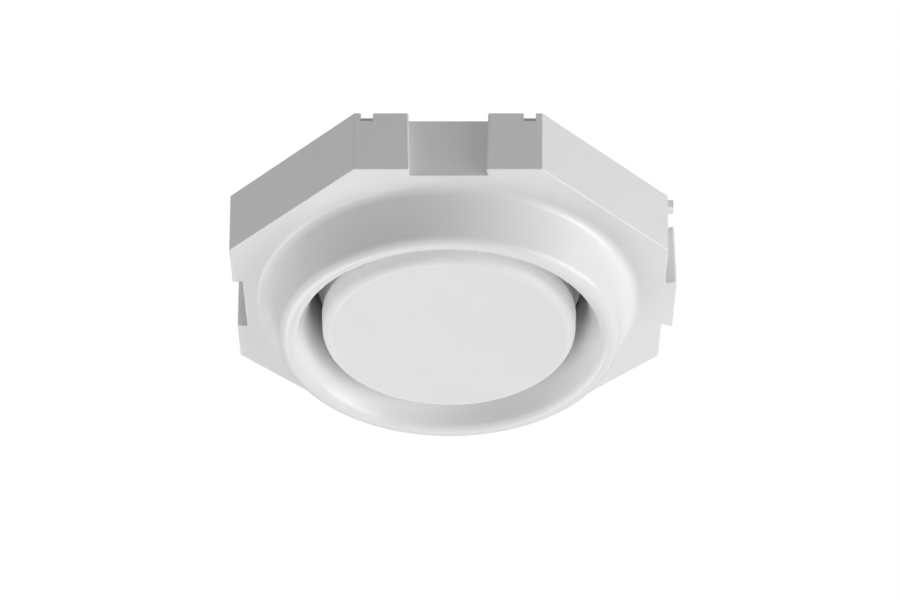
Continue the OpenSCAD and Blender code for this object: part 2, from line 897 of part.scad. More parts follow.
// Opal cover, held behind the lip of the lamp's body
module lamp_diffuser() {
    edge_r = front_lip_r - diffuser_gap;
    edge_z = lamp_front_z + diffuser_gap;
    flange_r = lamp_inner_r - diffuser_gap;
    flange_z = lamp_front_z + front_lip_t;
    inner = dome_line(edge_r - diffuser_t, edge_r, edge_z + diffuser_t);
    color("white")
        rotate_extrude()
            polygon(concat(dome_line(edge_r - diffuser_round, edge_r, edge_z),
                [[edge_r, edge_z + diffuser_round], [edge_r, flange_z], [flange_r, flange_z],
                 [flange_r, flange_z + diffuser_flange_t],
                 [edge_r - diffuser_t, flange_z + diffuser_flange_t]],
                [for (i = [dome_steps:-1:0]) inner[i]]));
}

// Dished sheet that carries the front board and reaches back to the cap
module lamp_heat_sink() {
    sink_r = lamp_inner_r - diffuser_gap;
    color("silver")
        difference() {
            disc(sink_r, sink_z, inside_z);
            disc(sink_r - sink_t, sink_z + sink_t, inside_z + over);
            disc(board_hole_r, sink_z - over, sink_z + sink_t + over);
            board_screw_places()
                disc(board_screw_r + screw_gap, sink_z - over, sink_z + sink_t + over);
        }
}

module board_screw_places() {
    for (i = [0:board_screw_count - 1])
        translate(polar(board_screw_circle, board_screw_angle + i * 360 / board_screw_count))
            children();
}

module led_board() {
    color("whitesmoke")
        difference() {
            disc(led_board_r, sink_z - board_t, sink_z);
            disc(board_hole_r, sink_z - board_t - over, sink_z + over);
            board_screw_places()
                disc(board_screw_r + screw_gap, sink_z - board_t - over, sink_z + over);
        }
}

module led_chips() {
    color("khaki")
        for (ring = led_ring_shares, i = [0:ring[0] - 1])
            rotate([0, 0, i * 360 / ring[0]])
                translate([ring[1] * led_board_r - led_len / 2, -led_w / 2, sink_z - board_t - led_h])
                    cube([led_len, led_w, led_h]);
}

module led_board_screws() {
    color("lightgray")
        board_screw_places() {
            disc(board_screw_r, sink_z - board_t, sink_z + sink_t);
            disc(board_head_r, sink_z - board_t - board_head_h, sink_z - board_t);
        }
}

// Rear cap with the hub that centres the lamp in its lampholder
module lamp_cap() {
    back_z = seat_z - lamp_back_t;
    flange_r = lamp_inner_r - diffuser_gap;
    color("ivory")
        difference() {
            rotate_extrude()
                polygon([[0, seat_z + hub_h], [hub_r, seat_z + hub_h], [hub_r, seat_z], [cap_r, seat_z],
                    [cap_r, back_z], [flange_r, back_z], [flange_r, inside_z],
                    [hub_r - hub_wall, inside_z], [hub_r - hub_wall, seat_z + hub_h - hub_end_t],
                    [0, seat_z + hub_h - hub_end_t]]);
            for (x = [-pin_circle, pin_circle])
                translate([x, 0, 0])
                    disc(neck_r + pin_fit, inside_z - over, seat_z + over);
        }
}

module contact_pins() {
    color("silver")
        for (x = [-pin_circle, pin_circle])
            translate([x, 0, 0]) {
                disc(neck_r, inside_z, seat_z + neck_len);
                disc(head_r, seat_z + neck_len, seat_z + neck_len + head_t);
                disc(pin_tail_r, driver_z, inside_z);
            }
}

module driver_board() {
    color("seagreen")
        disc(driver_r, driver_z, inside_z);
}

module driver_capacitor() {
    color("darkslategray")
        translate(hub_r * capacitor_at_share)
            difference() {
                disc(capacitor_r, inside_z, inside_z + capacitor_h);
                translate([0, 0, inside_z + capacitor_groove_place])
                    rotate_extrude()
                        translate([capacitor_r, 0])
                            circle(r = capacitor_groove);
            }
}

module driver_inductor() {
    color("peru")
        translate(hub_r * inductor_at_share) {
            disc(inductor_r, inside_z, inside_z + inductor_flange_t);
            disc(inductor_wind_r, inside_z + inductor_flange_t, inside_z + inductor_h - inductor_flange_t);
            disc(inductor_r, inside_z + inductor_h - inductor_flange_t, inside_z + inductor_h);
        }
}

// Surface-mounted package with two feet on each side
module package(at, size_x, size_y) {
    translate([at.x, at.y, driver_z]) {
        translate([-size_x / 2, -size_y / 2, -package_h])
            cube([size_x, size_y, package_h]);
        for (y = [-package_leg_place, package_leg_place])
            translate([-size_x / 2 - package_foot, y - package_leg_w / 2, -package_foot_t])
                cube([size_x + 2 * package_foot, package_leg_w, package_foot_t]);
    }
}

module driver_rectifier() {
    color("dimgray")
        package(hub_r * rectifier_at_share, rectifier_len, rectifier_w);
}

module driver_chip() {
    color("dimgray")
        package(hub_r * chip_at_share, chip_len, chip_w);
}

module driver_resistor() {
    at = hub_r * resistor_at_share;
    color("tan")
        translate([at.x - resistor_len / 2, at.y, driver_z - resistor_r - wire_gap])
            rotate([0, 90, 0]) {
                cylinder(r = resistor_r, h = resistor_len);
                translate([0, 0, -resistor_wire_out])
                    cylinder(r = resistor_wire_r, h = resistor_len + 2 * resistor_wire_out);
            }
}

// Short wires from the pins' tails to the driver board
module pin_wires() {
    color("firebrick")
        for (turn = [0, 180])
            rotate([0, 0, turn])
                translate([driver_r - wire_in, 0, driver_z - wire_r - wire_gap])
                    rotate([0, 90, 0])
                        cylinder(r = wire_r, h = pin_circle - driver_r + wire_in);
}

// Two wires from the driver board through the middle of the lamp's front board, bent over onto it
module led_wires() {
    foot_z = sink_z - board_t - link_wire_r - wire_gap;
    color("firebrick")
        for (hand = [-1, 1])
            translate([0, hand * link_wire_place, 0])
                rotate([90, 0, 0])
                    bent_wire([0, driver_z - wire_gap], [0, foot_z], [link_wire_foot, foot_z],
                        link_wire_bend, link_wire_r);
}

housing();
back_plate();
threaded_standoffs();
cable_grommet();
cable_clamp();
cable_clamp_screws();
terminal_block();
terminal_clamps();
terminal_screws();
terminal_block_screw();
live_lead();
neutral_lead();
holder_body();
holder_cover();
holder_cover_screws();
live_contact();
neutral_contact();
fixing_screws();
lamp_body();
lamp_diffuser();
lamp_heat_sink();
led_board();
led_chips();
led_board_screws();
lamp_cap();
contact_pins();
driver_board();
driver_capacitor();
driver_inductor();
driver_rectifier();
driver_chip();
driver_resistor();
pin_wires();
led_wires();
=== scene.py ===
import math

import bmesh
import bpy
from mathutils import Matrix, Vector


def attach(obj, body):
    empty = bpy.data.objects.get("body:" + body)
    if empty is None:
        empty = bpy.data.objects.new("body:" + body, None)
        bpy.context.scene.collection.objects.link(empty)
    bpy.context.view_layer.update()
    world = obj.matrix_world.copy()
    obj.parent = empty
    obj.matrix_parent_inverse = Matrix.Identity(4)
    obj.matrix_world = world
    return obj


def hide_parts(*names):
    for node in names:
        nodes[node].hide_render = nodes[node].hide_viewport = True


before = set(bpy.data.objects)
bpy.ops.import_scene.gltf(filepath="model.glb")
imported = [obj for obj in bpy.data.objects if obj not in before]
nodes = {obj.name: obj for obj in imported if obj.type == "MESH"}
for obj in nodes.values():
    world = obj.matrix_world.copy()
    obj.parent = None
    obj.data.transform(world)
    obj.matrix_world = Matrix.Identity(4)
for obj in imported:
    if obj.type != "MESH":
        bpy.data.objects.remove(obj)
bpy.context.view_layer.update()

# Sizes in millimetres, in the frame of the part: the soffit is at z = 0
MM = 0.001
BODY_H = 20.2
DRAFT = math.tan(math.radians(1.75))
WALL = 2.1
FACE_T = 2.8
RING_DROP = 15.0
RIM_ROUND = 3.2
RING_SLOPE = math.radians(20)
ROOT_FILLET = 3.0
BOWL_SLOPE = math.radians(28)
BOWL_FLARE = 3.6
POCKET_R = 41.2
FLOOR_Z = -3.5
PLATE_Z = -1.2
FLOOR_HOLE_R = 23.9
FACE_MARGIN = 6.6
RIM_R = POCKET_R + BOWL_FLARE + RIM_ROUND * math.cos(BOWL_SLOPE)
ROOT_R = RIM_R + RIM_ROUND / math.cos(RING_SLOPE) + (RING_DROP - RIM_ROUND) * math.tan(RING_SLOPE)
FILLET_R = ROOT_R + ROOT_FILLET * (1 / math.cos(RING_SLOPE) - math.tan(RING_SLOPE))
BODY_HALF = FILLET_R + FACE_MARGIN
RECESS_HALF = 10.6
RECESS_FLARE = 0.65
RECESS_DEPTH = 2.9
TONGUE_HALF = 10.2
TONGUE_FLARE = 1.3
TONGUE_OUT = 3.4
JOINT_TAPER = 0.75
NOTCH_PLACE = 23.2
NOTCH_W = 3.5
NOTCH_H = 3.0
# How far a notch is cut in, in thicknesses of the wall
NOTCH_REACH = 1.4
LUG_OUT = 1.8
LUG_GAP = 0.1
RIB_T = 1.8
RIB_TOP = -9.5
RIB_ANGLES = (-22.5, 112.5, 157.5, 202.5, 247.5, 292.5)
FIXING_PLACE = 31.0
FIXING_HOLE_R = 3.2
# Window in the tube for the leads, looked at from the terminal block: its two sides, lower edge and inner end
BLOCK_ANGLE = 52.0
WINDOW_SIDES = (-23.69, -10.48)
WINDOW_LOW = -11.1
WINDOW_IN = 30.0
# Height of the hollow inside the ring, as a share of the ring's drop
HOLLOW_SHARE = 0.7
LUG_BEVEL = 0.22
LUG_SINK = 0.04

# The lamp, from its seat down
SEAT_Z = -14.0
LAMP_R = 37.6
LAMP_FRONT = -32.4
LAMP_ROUND = 2.8
LAMP_WALL = 1.7
LAMP_TAPER = 1.2
SHOULDER_H = 4.6
CAP_HOLE_R = 31.0
CAP_DEPTH = 2.0
LIP_T = 1.4
GRIPS = 112
GRIP_DEPTH = 0.12
GRIP_SHARPNESS = 1.5
# Where the ribs start above the lamp's front, and over what heights they fade in and out
GRIP_START = 0.6
GRIP_FADE_IN = 2.6
GRIP_FADE_OUT = 0.5
GRIP_END = 0.1
# Only points this far outside the front's flat part are pressed in
GRIP_MARGIN = 0.5
FACETS_PER_GRIP = 8
COLLAR_Z = -25.1
COLLAR_OUT = 0.25
COLLAR_STEPS = 10
COLLAR_STEP_H = 0.15
# Rounding of the collar's rear edge, as steps in and up
COLLAR_ROUND = ((0.04, 0.10), (0.14, 0.14))
BACK_R = 37.5
# Chamfer between the lamp's side and its seat: out, in and down
SEAT_EDGE = (0.1, 0.2, 0.3)
LIP_CORNER = 0.03
DOME_H = 0.45
DOME_T = 1.5
FLANGE_T = 1.0
FLANGE_GAP = 0.15
COVER_GAP = 0.005
COVER_BEVEL = 0.02

# Roundings of the moulding's edges
EDGE_R = 0.35
CORNER_R = 0.6
INNER_CORNER_R = 0.4
CORNER_STEPS = 4
# Facets of a full turn, and the greatest angle between faces that still shade smooth
TURNS = 288
COVER_TURNS = 192
SMOOTH_ANGLE = 32.0
LAMP_SMOOTH_ANGLE = 40.0


def arc(centre, r, start, end, steps):
    """Points of an arc, in (radius, height) or (x, y), with angles in degrees."""
    angles = [math.radians(start + (end - start) * i / steps) for i in range(steps + 1)]
    return [(centre[0] + r * math.cos(a), centre[1] + r * math.sin(a)) for a in angles]


def new_object(name, bm, smooth_angle=SMOOTH_ANGLE):
    """An object from a bmesh in millimetres, smooth but for its sharp edges."""
    bmesh.ops.remove_doubles(bm, verts=bm.verts, dist=1e-4)
    bmesh.ops.recalc_face_normals(bm, faces=bm.faces)
    bmesh.ops.scale(bm, vec=(MM, MM, MM), verts=bm.verts)
    mesh = bpy.data.meshes.new(name)
    bm.to_mesh(mesh)
    bm.free()
    obj = bpy.data.objects.new(name, mesh)
    bpy.context.scene.collection.objects.link(obj)
    mark_smooth(obj, smooth_angle)
    return obj


def mark_smooth(obj, smooth_angle):
    """Smooth faces all over, with the edges sharper than the angle kept sharp."""
    bm = bmesh.new()
    bm.from_mesh(obj.data)
    limit = math.radians(smooth_angle)
    for face in bm.faces:
        face.smooth = True
    for edge in bm.edges:
        edge.smooth = len(edge.link_faces) == 2 and edge.calc_face_angle(0.0) < limit
    bm.to_mesh(obj.data)
    bm.free()


def weigh_normals(obj):
    """Keeps flat faces flat beside their small roundings."""
    modifier = obj.modifiers.new("weighted_normals", "WEIGHTED_NORMAL")
    modifier.keep_sharp = True
    modifier.weight = 100


def bake_modifiers(obj):
    """Puts the result of an object's modifiers into its mesh."""
    depsgraph = bpy.context.evaluated_depsgraph_get()
    mesh = bpy.data.meshes.new_from_object(obj.evaluated_get(depsgraph))
    obj.modifiers.clear()
    obj.data = mesh
    mark_smooth(obj, SMOOTH_ANGLE)


def cut(obj, cutter, operation="DIFFERENCE"):
    """Boolean of two closed meshes; the cutter is used up."""
    modifier = obj.modifiers.new("cut", "BOOLEAN")
    modifier.operation = operation
    modifier.solver = "EXACT"
    modifier.object = cutter
    bake_modifiers(obj)
    bpy.data.objects.remove(cutter)


def box_mesh(bm, low, high, turn=0.0, bevel=0.0):
    """Adds a box between two corners, turned about Z by an angle in degrees."""
    made = bmesh.ops.create_cube(bm, size=1.0)
    verts = made["verts"]
    size = [high[i] - low[i] for i in range(3)]
    middle = [(high[i] + low[i]) / 2 for i in range(3)]
    bmesh.ops.scale(bm, vec=size, verts=verts)
    bmesh.ops.translate(bm, vec=middle, verts=verts)
    bmesh.ops.rotate(bm, cent=(0, 0, 0), matrix=Matrix.Rotation(math.radians(turn), 3, "Z"), verts=verts)
    if bevel:
        edges = list(dict.fromkeys(edge for vert in verts for edge in vert.link_edges))
        bmesh.ops.bevel(bm, geom=edges, offset=bevel, segments=3, profile=0.5, affect="EDGES")


def add_loop(bm, points, z):
    return [bm.verts.new((x, y, z)) for x, y in points]


def bridge(bm, lower, upper):
    """Quads between two loops of as many points."""
    count = len(lower)
    for i in range(count):
        j = (i + 1) % count
        bm.faces.new((lower[i], lower[j], upper[j], upper[i]))


def loop_edges(bm, loop):
    edges = []
    for i, vert in enumerate(loop):
        other = loop[(i + 1) % len(loop)]
        edge = bm.edges.get((vert, other))
        edges.append(edge if edge else bm.edges.new((vert, other)))
    return edges


def fill_between(bm, one, other):
    """Flat face between an outline and a circle inside it, or between two outlines."""
    bmesh.ops.triangle_fill(bm, use_beauty=True, use_dissolve=False,
                            edges=loop_edges(bm, one) + loop_edges(bm, other))


def circle_loop(bm, r, z, turns=TURNS):
    return add_loop(bm, [(r * math.cos(2 * math.pi * i / turns), r * math.sin(2 * math.pi * i / turns))
                         for i in range(turns)], z)


def lathe(bm, line, turns=TURNS):
    """Rings of quads along a line of (radius, z). Returns the first and last loop."""
    first = before = None
    for r, z in line:
        loop = circle_loop(bm, r, z, turns)
        if before:
            bridge(bm, before, loop)
        first = first or loop
        before = loop
    return first, before


def lathe_closed(bm, line, turns=TURNS):
    """A ring-shaped solid, or one that closes on the axis where the line starts or ends at radius 0."""
    solid = [point for point in line if point[0] > 0]
    first, last = lathe(bm, solid, turns)
    if len(solid) == len(line):
        bridge(bm, last, first)
        return
    for loop, point in ((first, line[0]), (last, line[-1])):
        tip = bm.verts.new((0, 0, point[1]))
        for i, vert in enumerate(loop):
            bm.faces.new((vert, loop[(i + 1) % turns], tip))


def rounded(points, radius_of):
    """Outline with each corner replaced by an arc, and the outward mitre of each new point."""
    result = []
    count = len(points)
    for i, point in enumerate(points):
        here = Vector(point)
        back = (Vector(points[i - 1]) - here).normalized()
        ahead = (Vector(points[(i + 1) % count]) - here).normalized()
        turn = math.pi - back.angle(ahead)
        cross = back.x * ahead.y - back.y * ahead.x
        r = radius_of(cross < 0)
        reach = r * math.tan(turn / 2)
        start = here + back * reach
        side = 1.0 if cross < 0 else -1.0
        normal_in = Vector((-(-back).y, (-back).x)) * side
        centre = start + normal_in * r
        angle = math.atan2(start.y - centre.y, start.x - centre.x)
        for k in range(CORNER_STEPS + 1):
            a = angle + side * turn * k / CORNER_STEPS
            out = Vector((math.cos(a), math.sin(a)))
            result.append((centre + out * r, out * side))
    return result


def body_outline(share):
    """Outer outline of the body at a share of its depth above its face."""
    half = BODY_HALF + DRAFT * BODY_H * share
    corner = half * math.tan(math.radians(22.5))
    widen = JOINT_TAPER * share
    points = []
    for k in range(8):
        side = [(-corner, -half)]
        if k in (0, 6):
            slope = RECESS_FLARE / RECESS_DEPTH
            mouth = RECESS_HALF + widen - slope * (half - BODY_HALF)
            floor = RECESS_HALF + RECESS_FLARE + widen
            depth = BODY_HALF - RECESS_DEPTH
            side += [(-mouth, -half), (-floor, -depth), (floor, -depth), (mouth, -half)]
        if k in (2, 4):
            slope = TONGUE_FLARE / TONGUE_OUT
            root = TONGUE_HALF + widen + slope * (half - BODY_HALF)
            tip = TONGUE_HALF + TONGUE_FLARE + widen
            out = BODY_HALF + TONGUE_OUT
            side += [(-root, -half), (-tip, -out), (tip, -out), (root, -half)]
        turn = Matrix.Rotation(math.radians(45 * k), 2)
        points += [tuple(turn @ Vector(p)) for p in side]
    return rounded(points, lambda convex: CORNER_R if convex else INNER_CORNER_R)


def pocket_outline(share):
    """Inner outline of the wall, stepped in behind the recesses."""
    half = BODY_HALF - WALL + DRAFT * BODY_H * share
    corner = half * math.tan(math.radians(22.5))
    boss_half = RECESS_HALF + JOINT_TAPER + RECESS_FLARE + WALL
    boss_face = BODY_HALF - RECESS_DEPTH - WALL
    points = []
    for k in range(8):
        side = [(-corner, -half)]
        if k in (0, 6):
            side += [(-boss_half, -half), (-boss_half, -boss_face),
                     (boss_half, -boss_face), (boss_half, -half)]
        turn = Matrix.Rotation(math.radians(45 * k), 2)
        points += [tuple(turn @ Vector(p)) for p in side]
    return rounded(points, lambda convex: CORNER_R)


def outline_loop(bm, outline, z, inset=0.0):
    share = (z + BODY_H) / BODY_H
    return add_loop(bm, [tuple(point - out * inset) for point, out in outline(share)], z)


def ring_line():
    """Line of the ring from its root on the face, over the rim and up the bowl to the floor."""
    face = -BODY_H
    rim_z = face + RIM_ROUND - RING_DROP
    bowl_r = BOWL_FLARE / (1 - math.cos(BOWL_SLOPE))
    throat_z = rim_z + (bowl_r - RIM_ROUND) * math.sin(BOWL_SLOPE)
    slope, bowl = math.degrees(RING_SLOPE), math.degrees(BOWL_SLOPE)
    skin = (arc((FILLET_R, face - ROOT_FILLET), ROOT_FILLET, 90, 180 - slope, 14)
            + arc((RIM_R, rim_z), RIM_ROUND, -slope, bowl - 180, 40)
            + arc((POCKET_R + bowl_r, throat_z), bowl_r, 180 + bowl, 180, 20)[1:])
    hollow_r = bowl_r - WALL
    hollow_z = face - HOLLOW_SHARE * RING_DROP
    deepest = math.degrees(math.asin((throat_z - hollow_z) / hollow_r))
    cone_r = ROOT_R - WALL / math.cos(RING_SLOPE)
    inside = (arc((POCKET_R + bowl_r, throat_z), hollow_r, 180, 180 + deepest, 12)
              + [(cone_r - (face - hollow_z) * math.tan(RING_SLOPE), hollow_z),
                 (cone_r + FACE_T * math.tan(RING_SLOPE), face + FACE_T)])
    floor = [(POCKET_R, FLOOR_Z), (FLOOR_HOLE_R, FLOOR_Z),
             (FLOOR_HOLE_R, PLATE_Z), (POCKET_R + WALL, PLATE_Z)]
    return skin + floor + inside


def make_housing():
    """Shell of the housing: body, face, ring, bowl and tube in one, then lugs and ribs, then its openings."""
    bm = bmesh.new()
    quarter = [math.pi / 2 * i / CORNER_STEPS for i in range(CORNER_STEPS + 1)]
    levels = ([(EDGE_R * (1 - math.sin(a)), -EDGE_R * (1 - math.cos(a))) for a in quarter]
              + [(EDGE_R * (1 - math.cos(a)), -BODY_H + EDGE_R * (1 - math.sin(a))) for a in quarter])
    outer = [outline_loop(bm, body_outline, z, inset) for inset, z in levels]
    for one, other in zip(outer, outer[1:]):
        bridge(bm, one, other)
    first, last = lathe(bm, ring_line())
    fill_between(bm, outer[-1], first)
    pocket_low = outline_loop(bm, pocket_outline, -BODY_H + FACE_T)
    pocket_high = outline_loop(bm, pocket_outline, 0.0)
    bridge(bm, pocket_low, pocket_high)
    fill_between(bm, last, pocket_low)
    fill_between(bm, pocket_high, outer[0])
    housing = new_object("housing_shell", bm)

    bm = bmesh.new()
    half_back = BODY_HALF + DRAFT * BODY_H
    lug_half = NOTCH_W / 2 - LUG_GAP
    for turn in (90, 180):
        for x in (-NOTCH_PLACE, NOTCH_PLACE):
            box_mesh(bm, (x - lug_half, -half_back - LUG_OUT, LUG_GAP - NOTCH_H),
                     (x + lug_half, WALL / 2 - BODY_HALF, -LUG_SINK), turn, bevel=LUG_BEVEL)
    rib_in = POCKET_R + WALL / 2
    rib_out = (BODY_HALF - WALL / 2) / math.cos(math.radians(22.5))
    for angle in RIB_ANGLES:
        box_mesh(bm, (rib_in, -RIB_T / 2, FACE_T / 2 - BODY_H), (rib_out, RIB_T / 2, RIB_TOP), angle)
    cut(housing, new_object("added", bm), "UNION")

    bm = bmesh.new()
    for turn in (0, -90):
        for x in (-NOTCH_PLACE, NOTCH_PLACE):
            box_mesh(bm, (x - NOTCH_W / 2, -half_back - WALL, -NOTCH_H),
                     (x + NOTCH_W / 2, -BODY_HALF + NOTCH_REACH * WALL, WALL), turn)
    box_mesh(bm, (WINDOW_IN, WINDOW_SIDES[0], WINDOW_LOW), (POCKET_R + 2 * WALL, WINDOW_SIDES[1], FLOOR_Z),
             BLOCK_ANGLE)
    for y in (-FIXING_PLACE, FIXING_PLACE):
        made = bmesh.ops.create_cone(bm, cap_ends=True, segments=48, radius1=FIXING_HOLE_R,
                                     radius2=FIXING_HOLE_R, depth=2 * WALL + FACE_T)
        bmesh.ops.translate(bm, vec=(0, y, FLOOR_Z), verts=made["verts"])
    cut(housing, new_object("removed", bm))
    weigh_normals(housing)
    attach(housing, "fixture")
    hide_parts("housing")
    return housing


def make_lamp_body():
    """Shell of the lamp: ribbed collar, rounded front whose lip holds the opal cover, and plain back."""
    front_r = LAMP_R - LAMP_ROUND
    straight = LAMP_FRONT + LAMP_ROUND
    inner_r = LAMP_R - LAMP_WALL
    seat_r = LAMP_R - LAMP_TAPER
    collar_r = LAMP_R + COLLAR_OUT
    draft = math.degrees(math.atan2(COLLAR_OUT, COLLAR_Z - straight))
    grip_low, grip_high = LAMP_FRONT + GRIP_START, COLLAR_Z - GRIP_END
    collar = [(LAMP_R + COLLAR_OUT * i / COLLAR_STEPS, straight + (COLLAR_Z - straight) * i / COLLAR_STEPS)
              for i in range(1, COLLAR_STEPS + 1)]
    line = ([(front_r, LAMP_FRONT + LIP_T), (front_r, LAMP_FRONT + LIP_CORNER)]
            + arc((front_r, straight), LAMP_ROUND, -89.5, -draft, 16)
            + collar
            + [(collar_r - into, COLLAR_Z + rise) for into, rise in COLLAR_ROUND]
            + [(BACK_R, COLLAR_Z + COLLAR_STEP_H), (BACK_R, SEAT_Z - SHOULDER_H),
               (seat_r + SEAT_EDGE[0], SEAT_Z - SEAT_EDGE[2]), (seat_r - SEAT_EDGE[1], SEAT_Z),
               (CAP_HOLE_R, SEAT_Z), (CAP_HOLE_R, SEAT_Z - CAP_DEPTH), (inner_r, SEAT_Z - CAP_DEPTH),
               (inner_r, LAMP_FRONT + LIP_T)])
    bm = bmesh.new()
    lathe_closed(bm, line, GRIPS * FACETS_PER_GRIP)
    for vert in bm.verts:
        r = math.hypot(vert.co.x, vert.co.y)
        if r < front_r + GRIP_MARGIN or not grip_low <= vert.co.z <= grip_high:
            continue
        fade = min(1.0, (vert.co.z - grip_low) / GRIP_FADE_IN, (grip_high - vert.co.z) / GRIP_FADE_OUT)
        wave = 0.5 - 0.5 * math.cos(GRIPS * math.atan2(vert.co.y, vert.co.x))
        sunk = GRIP_DEPTH * fade * wave ** GRIP_SHARPNESS
        vert.co.x *= 1 - sunk / r
        vert.co.y *= 1 - sunk / r
    body = new_object("lamp_shell", bm, LAMP_SMOOTH_ANGLE)
    weigh_normals(body)
    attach(body, "lamp")
    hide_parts("lamp_body")
    return body


def make_lamp_cover():
    """Opal cover: a faint dome whose edge ends flush behind the lip."""
    edge = LAMP_R - LAMP_ROUND - COVER_GAP
    steps = 24
    radii = [edge * math.sin(math.pi / 2 * i / steps) for i in range(steps + 1)]
    face = [(r, LAMP_FRONT - DOME_H * (1 - (r / edge) ** 2) ** 2) for r in radii[:-1]]
    behind = [(r, z + DOME_T) for r, z in reversed(face) if r < edge - DOME_T]
    flange_r = LAMP_R - LAMP_WALL - FLANGE_GAP
    flange = LAMP_FRONT + LIP_T
    rim = [(edge - COVER_BEVEL, LAMP_FRONT), (edge, LAMP_FRONT + COVER_BEVEL), (edge, flange),
           (flange_r, flange), (flange_r, flange + FLANGE_T), (edge - DOME_T, flange + FLANGE_T)]
    bm = bmesh.new()
    lathe_closed(bm, face + rim + behind, COVER_TURNS)
    cover = new_object("lamp_face", bm, LAMP_SMOOTH_ANGLE)
    weigh_normals(cover)
    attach(cover, "lamp")
    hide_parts("lamp_diffuser")
    return cover


housing = make_housing()
lamp_body = make_lamp_body()
lamp_cover = make_lamp_cover()


# Materials. Each one takes its pattern from the object's own coordinates, in metres.

# Over what distances (mm) the tube's inside turns whiter and the lamp's side paler, both painted light, and
# its back duller
TUBE_PAINTED_LIGHT = (0.4, 2.4)
SIDE_PAINTED_LIGHT = (1.6, 3.2)
SIDE_PAINTED_LIGHT_GAIN = 1.09
BACK_DULL = (0.08, 0.14)
# The collar's shading leans out over this height (mm), by a bump this deep (m)
LEAN_H = 4.9
LEAN = 0.0012


def link(mat, source, target):
    mat.node_tree.links.new(source, target)


def node(mat, kind, **inputs):
    made = mat.node_tree.nodes.new(kind)
    for key, value in inputs.items():
        made.inputs[key].default_value = value
    return made


def pattern(mat, kind="noise", scale=100.0, stretch=(1, 1, 1), detail=4.0, turn=0.0):
    """Grey value of a pattern, whose coordinates may be stretched and turned about Z."""
    coordinates = node(mat, "ShaderNodeTexCoord")
    mapping = node(mat, "ShaderNodeMapping", Scale=stretch, Rotation=(0, 0, math.radians(turn)))
    link(mat, coordinates.outputs["Object"], mapping.inputs["Vector"])
    if kind == "noise":
        texture = node(mat, "ShaderNodeTexNoise", Scale=scale, Detail=detail)
        result = texture.outputs["Fac"]
    elif kind == "cells":
        texture = node(mat, "ShaderNodeTexVoronoi", Scale=scale)
        result = texture.outputs["Color"]
    elif kind == "cracks":
        texture = node(mat, "ShaderNodeTexVoronoi", Scale=scale)
        texture.feature = "DISTANCE_TO_EDGE"
        result = texture.outputs["Distance"]
    else:
        texture = node(mat, "ShaderNodeTexWave", Scale=scale, Distortion=0.4, Detail=1.0)
        texture.bands_direction = kind.upper()
        result = texture.outputs["Fac"]
    link(mat, mapping.outputs["Vector"], texture.inputs["Vector"])
    return result


def ramp(mat, source, low, high, start=0.35, end=0.65):
    """Maps a grey value to a range of numbers."""
    spread = node(mat, "ShaderNodeMapRange",
                  **{"From Min": start, "From Max": end, "To Min": low, "To Max": high})
    link(mat, source, spread.inputs["Value"])
    return spread.outputs["Result"]


def blend(mat, factor, one, other):
    """Colour between two, each a plain colour or another node's output."""
    mix = node(mat, "ShaderNodeMix")
    mix.data_type = "RGBA"
    link(mat, factor, mix.inputs["Factor"])
    for slot, value in (("A", one), ("B", other)):
        socket = [i for i in mix.inputs if i.name == slot and i.type == "RGBA"][0]
        if isinstance(value, tuple):
            socket.default_value = (*value, 1)
        else:
            link(mat, value, socket)
    return [o for o in mix.outputs if o.type == "RGBA"][0]


def scaled(colour, by):
    return tuple(min(1.0, c * by) for c in colour)


def edges(mat, start=0.52, end=0.60):
    """1 on sharp outward edges, 0 elsewhere."""
    geometry = node(mat, "ShaderNodeNewGeometry")
    return ramp(mat, geometry.outputs["Pointiness"], 0.0, 1.0, start, end)


def surface(name, colour, roughness, metallic=0.0, clouds=0.03, uneven=0.15, worn=None, cloud_scale=45.0,
            stretch=(1, 1, 1)):
    """Base of every finish: cloudy colour, uneven gloss, and a tint on the worn edges."""
    mat = bpy.data.materials.new(name)
    mat.use_nodes = True
    shader = mat.node_tree.nodes["Principled BSDF"]
    shader.inputs["Metallic"].default_value = metallic
    tone = blend(mat, ramp(mat, pattern(mat, scale=cloud_scale, stretch=stretch), 0.0, 1.0),
                 scaled(colour, 1 - clouds), scaled(colour, 1 + clouds / 2))
    if worn:
        tone = blend(mat, edges(mat), tone, worn)
    link(mat, tone, shader.inputs["Base Color"])
    gloss = ramp(mat, pattern(mat, scale=3.7 * cloud_scale, stretch=stretch),
                 roughness * (1 - uneven), roughness * (1 + uneven))
    link(mat, gloss, shader.inputs["Roughness"])
    return mat, shader


def bump(mat, shader, height, depth, strength=0.3):
    made = node(mat, "ShaderNodeBump", Strength=strength, Distance=depth)
    link(mat, height, made.inputs["Height"])
    link(mat, made.outputs["Normal"], shader.inputs["Normal"])


def plastic(name, colour, roughness, grain=0.00001, grain_scale=900.0, **more):
    """Moulded plastic with a fine spark-eroded grain, paler where its edges are rubbed."""
    more.setdefault("worn", scaled(colour, 1.04))
    mat, shader = surface(name, colour, roughness, **more)
    bump(mat, shader, pattern(mat, scale=grain_scale, detail=3.0), grain)
    return mat, shader


